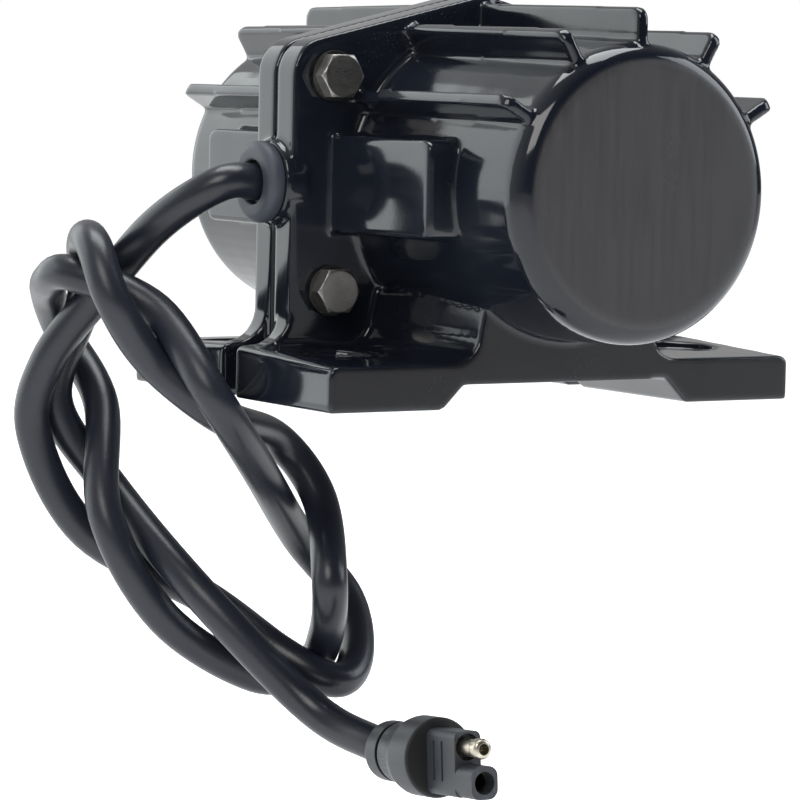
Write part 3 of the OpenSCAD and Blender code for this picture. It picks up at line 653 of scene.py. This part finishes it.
def makeSoftened(name, node, s):
    mesh = weldedCopy(node, name)
    shape = bmesh.new()
    shape.from_mesh(mesh)
    flat = math.radians(1.0)
    bmesh.ops.dissolve_limit(shape, angle_limit=flat, verts=shape.verts, edges=shape.edges)
    shape.to_mesh(mesh)
    shape.free()
    piece = newPiece(name, mesh, node)
    bevel = piece.modifiers.new("bevel", "BEVEL")
    bevel.width = s["width"]
    bevel.segments = s["segments"]
    bevel.limit_method = "ANGLE"
    bevel.angle_limit = math.radians(s["angle"])
    bevel.use_clamp_overlap = True
    bevel.harden_normals = False
    applyModifiers(piece)
    mesh = piece.data
    mesh.materials.clear()
    mesh.materials.append(nodeMaterials[node])
    shadeSmooth(mesh)
    mesh.set_sharp_from_angle(angle=math.radians(32))
    weigh = piece.modifiers.new("weigh", "WEIGHTED_NORMAL")
    weigh.keep_sharp = True
    weigh.weight = 80
    return piece


for number in range(1, 5):
    makeSoftened(f"hexBolt{number}", f"flange_bolt_{number}", softenSettings["bolt"])
    makeSoftened(f"hexNut{number}", f"flange_nut_{number}", softenSettings["bolt"])
    makeSoftened(f"headWasher{number}", f"bolt_washer_{number}", softenSettings["washer"])
    makeSoftened(f"nutWasher{number}", f"nut_washer_{number}", softenSettings["washer"])
plugBoot = makeSoftened("plugBoot", "plug_boot", softenSettings["plug"])
plugBody = makeSoftened("plugBody", "plug_body", softenSettings["plug"])
plugPin = makeSoftened("plugPin", "plug_pin", softenSettings["pin"])

plugTip = math.radians(4.6)
plugAxis = Vector((0, -math.cos(plugTip), math.sin(plugTip)))
# painted shade: the faces turned to the front of the boot take the darker front material
plugBoot.data.materials.append(materials["plugFrontShade"])
for face in plugBoot.data.polygons:
    if face.normal.dot(plugAxis) > softenSettings["frontShadeFrom"]:
        face.material_index = 1
print("fasteners and connector ready")


# the brush springs, each copied from its CAD node with a mesh of its own
springSettings = {"travel": 3 * mm, "sides": {"Left": "left", "Right": "right"}}


def makeSpring(name, side):
    node = f"brush_spring_{side}"
    mesh = weldedCopy(node, name)
    mesh.materials.clear()
    mesh.materials.append(nodeMaterials[node])
    shadeSmooth(mesh)
    piece = newPiece(name, mesh, node)
    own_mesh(piece)
    return piece


for sideName, side in springSettings["sides"].items():
    makeSpring(f"brushSpring{sideName}", side)
print("springs ready")


grommetSettings = {
    "edge": 2.2 * mm,  # rounding of the collar's outer edge
    "lip": 0.7 * mm,  # rounding of the cable hole's edge
    "groove": 0.5 * mm,  # step where the collar meets the boss
    "collar": 4.0 * mm,
    "neck": 0.72,  # share of the collar's radius
    "holeGap": 0.9 * mm,  # open ring around the cable
    "holeDepth": 2.4 * mm,
    "holeFloor": 2.8 * mm,
    "cableGap": 0.02 * mm,
    "collarInset": 0.05 * mm,
    "around": 96,
}


def arcPoints(cx, cy, r, start, stop, count=8):
    angles = [math.radians(start + (stop - start) * i / count) for i in range(count + 1)]
    return [(cx + r * math.cos(a), cy + r * math.sin(a)) for a in angles]


def lathe(name, profile, place, count):
    # profile is (distance along -X, radius); it turns about a line along X through place
    mesh = bpy.data.meshes.new(name)
    turns = [2 * math.pi * i / count for i in range(count)]
    points = [
        (place[0] - along, place[1] + r * math.cos(a), place[2] + r * math.sin(a))
        for a in turns for along, r in profile
    ]
    n = len(profile)
    faces = [
        (i * n + k, i * n + (k + 1) % n, (i + 1) % count * n + (k + 1) % n, (i + 1) % count * n + k)
        for i in range(count) for k in range(n)
    ]
    mesh.from_pydata(points, [], faces)
    shape = bmesh.new()
    shape.from_mesh(mesh)
    bmesh.ops.recalc_face_normals(shape, faces=shape.faces)
    shape.to_mesh(mesh)
    shape.free()
    shadeSmooth(mesh)
    mesh.set_sharp_from_angle(angle=math.radians(40))
    return mesh


def makeGrommet(s):
    low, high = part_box("cable_grommet")
    axisY, axisZ = (low.y + high.y) / 2, (low.z + high.z) / 2
    collarR = (high.z - low.z) / 2
    tailLow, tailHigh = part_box("cable_tail")
    cableR = (tailHigh.z - tailLow.z) / 2
    depth = high.x - low.x
    neckR = collarR * s["neck"]
    holeR = cableR + s["holeGap"]
    edge, lip = s["edge"], s["lip"]
    collarAt = depth - s["collar"]
    profile = (
        [(0, neckR), (collarAt, neckR), (collarAt, collarR - s["groove"])]
        + [(collarAt + s["groove"], collarR - s["collarInset"])]
        + arcPoints(depth - edge, collarR - edge, edge, 90, 0)
        + arcPoints(depth - lip, holeR + lip, lip, 0, -90)
        + [(depth - s["holeDepth"], holeR), (depth - s["holeFloor"], cableR + s["cableGap"])]
        + [(0, cableR + s["cableGap"])]
    )
    mesh = lathe("cableGrommet", profile, (high.x, axisY, axisZ), s["around"])
    mesh.materials.append(materials["grommetRubber"])
    return newPiece("cableGrommet", mesh, "cable_grommet")


grommet = makeGrommet(grommetSettings)
print("grommet ready")


# the cable's centre line, in millimetres, from the grommet to the connector
cableRoute = [
    (-56, 0, 50.6), (-67, 0, 50), (-77, 12, 40), (-83, 30, 23), (-91, 41, 6),
    (-92, 46, -12), (-80, 41, -36), (-56, 25, -51), (-45, 5, -63), (-34, -2, -69),
    (-25, 4, -64), (-21, 16, -52), (-33, 19, -37), (-56, -1, -17), (-73, -10, 1),
    (-79, 8, 20), (-93, 24, 28), (-93, 36, 26), (-86, 51, 21), (-78, 59, 11),
    (-75, 44, -5), (-82, 27, -30), (-69, 21, -55), (-45, 19, -70), (-33, 14, -68),
    (-36, 0, -58), (-41, -10, -44), (-35, 6, -26), (-43, 13, -12), (-67, -1, -4),
    (-82, 5, 9), (-92, 5, 23), (-93, 13, 35), (-88, 28, 35), (-80, 44, 20),
    (-85, 49, -4), (-74, 40, -25), (-65, 10, -48), (-45, -10, -74), (-37, -32, -81),
]
cableSettings = {"diameter": 8.6 * mm, "length": 0.89, "steps": 10, "sides": 24}


def smoothRoute(points, steps):
    p = [Vector(q) * mm for q in points]
    p = [2 * p[0] - p[1]] + p + [2 * p[-1] - p[-2]]
    line = []
    for i in range(1, len(p) - 2):
        a, b, c, d = p[i - 1 : i + 3]
        for k in range(steps):
            t = k / steps
            square, cube = 2 * a - 5 * b + 4 * c - d, 3 * b - a - 3 * c + d
            line.append(0.5 * (2 * b + (c - a) * t + square * t * t + cube * t**3))
    return line + [p[-2]]


def makeCable(s):
    line = smoothRoute(cableRoute, s["steps"])
    radius = s["diameter"] / 2
    side = Vector((0, 0, 1))
    points = []
    for i, at in enumerate(line):
        along = (line[min(i + 1, len(line) - 1)] - line[max(i - 1, 0)]).normalized()
        side = (side - side.dot(along) * along).normalized()
        other = along.cross(side)
        for k in range(s["sides"]):
            turn = 2 * math.pi * k / s["sides"]
            points.append(at + radius * (math.cos(turn) * side + math.sin(turn) * other))
    n = s["sides"]
    faces = [
        (i * n + k, i * n + (k + 1) % n, (i + 1) * n + (k + 1) % n, (i + 1) * n + k)
        for i in range(len(line) - 1) for k in range(n)
    ]
    faces += [tuple(reversed(range(n))), tuple(range((len(line) - 1) * n, len(line) * n))]
    mesh = bpy.data.meshes.new("powerCable")
    mesh.from_pydata(points, [], faces)
    mesh.materials.append(materials["cableSheath"])
    shadeSmooth(mesh)
    mesh.set_sharp_from_angle(angle=math.radians(60))
    cable = newPiece("powerCable", mesh, "power_cable")
    return cable


makeCable(cableSettings)
print("cable ready")


studioSettings = {
    "floorDrop": 60 * mm,  # below the lowest point of the part
    "floorSize": 14.0,
    "floorGlow": 0.5,
    "brightSide": (-0.45, 0.85, 0.27),
    "skyRange": (-0.35, 0.9, 0.015, 0.7),
    "softLight": 0.6,
    "lights": [
        {
            "name": "leftPanel", "place": (-0.75, 1.15, 0.35), "size": (1.8, 1.3),
            "power": 12, "colour": (0.93, 1.0, 1.0),
        },
        {
            "name": "topPanel", "place": (0.1, 0.1, 1.3), "size": (1.1, 0.7),
            "power": 17, "colour": (0.95, 0.98, 1.0),
        },
        {
            "name": "frontPanel", "place": (-0.9, -0.9, 0.9), "size": (0.7, 0.7),
            "power": 8, "colour": (1.0, 0.98, 0.96),
        },
        {
            "name": "rightPanel", "place": (1.0, -0.4, 0.5), "size": (0.6, 0.8),
            "power": 6, "colour": (0.9, 0.95, 1.0),
        },
    ],
}


def addLight(s):
    data = bpy.data.lights.new(s["name"], "AREA")
    data.shape = "RECTANGLE"
    data.size, data.size_y = s["size"]
    data.energy = s["power"]
    data.color = s["colour"]
    light = bpy.data.objects.new(s["name"], data)
    bpy.context.scene.collection.objects.link(light)
    light.location = s["place"]
    light.rotation_euler = (Vector((0, 0, 0.02)) - light.location).to_track_quat("-Z", "Y").to_euler()


def addStudio(s):
    for light in s["lights"]:
        addLight(light)
    half = s["floorSize"] / 2
    height = cadBox[0].z - s["floorDrop"]
    mesh = bpy.data.meshes.new("studioFloor")
    corners = [(x * half, y * half, height) for x, y in ((-1, -1), (1, -1), (1, 1), (-1, 1))]
    mesh.from_pydata(corners, [], [(0, 1, 2, 3)])
    floor = bpy.data.objects.new("studioFloor", mesh)
    bpy.context.scene.collection.objects.link(floor)
    paint = bpy.data.materials.new("palePaint")
    paint.use_nodes = True
    shader = paint.node_tree.nodes["Principled BSDF"]
    shader.inputs["Base Color"].default_value = (0.9, 0.9, 0.9, 1)
    shader.inputs["Roughness"].default_value = 0.9
    shader.inputs["Specular IOR Level"].default_value = 0.1
    shader.inputs["Emission Color"].default_value = (1, 1, 1, 1)
    tree = paint.node_tree
    path = tree.nodes.new("ShaderNodeLightPath")
    glow = mapRange(tree, path.outputs["Is Glossy Ray"], 0.0, 1.0, s["floorGlow"], 0.0)
    tree.links.new(glow, shader.inputs["Emission Strength"])
    mesh.materials.append(paint)
    addSky(s)


def addSky(s):
    # white for the camera; in reflections bright behind the part and dark in front of it
    world = bpy.data.worlds.new("studioSky")
    bpy.context.scene.world = world
    world.use_nodes = True
    tree = world.node_tree
    sky = tree.nodes["Background"]
    along = tree.nodes.new("ShaderNodeVectorMath")
    along.operation = "DOT_PRODUCT"
    tree.links.new(tree.nodes.new("ShaderNodeTexCoord").outputs["Generated"], along.inputs[0])
    along.inputs[1].default_value = s["brightSide"]
    mirrored = mapRange(tree, along.outputs["Value"], *s["skyRange"])
    path = tree.nodes.new("ShaderNodeLightPath")
    soft = mapRange(tree, path.outputs["Is Diffuse Ray"], 0.0, 1.0, 1.0, s["softLight"])
    level = mapRange(tree, path.outputs["Is Glossy Ray"], 0.0, 1.0, soft, mirrored)
    tree.links.new(mixColour(tree, level, (0.0, 0.0, 0.0), (1.0, 1.0, 1.0)), sky.inputs["Color"])
    sky.inputs["Strength"].default_value = 1.0


addStudio(studioSettings)
bpy.context.scene.view_settings.view_transform = "Standard"
print("studio ready")
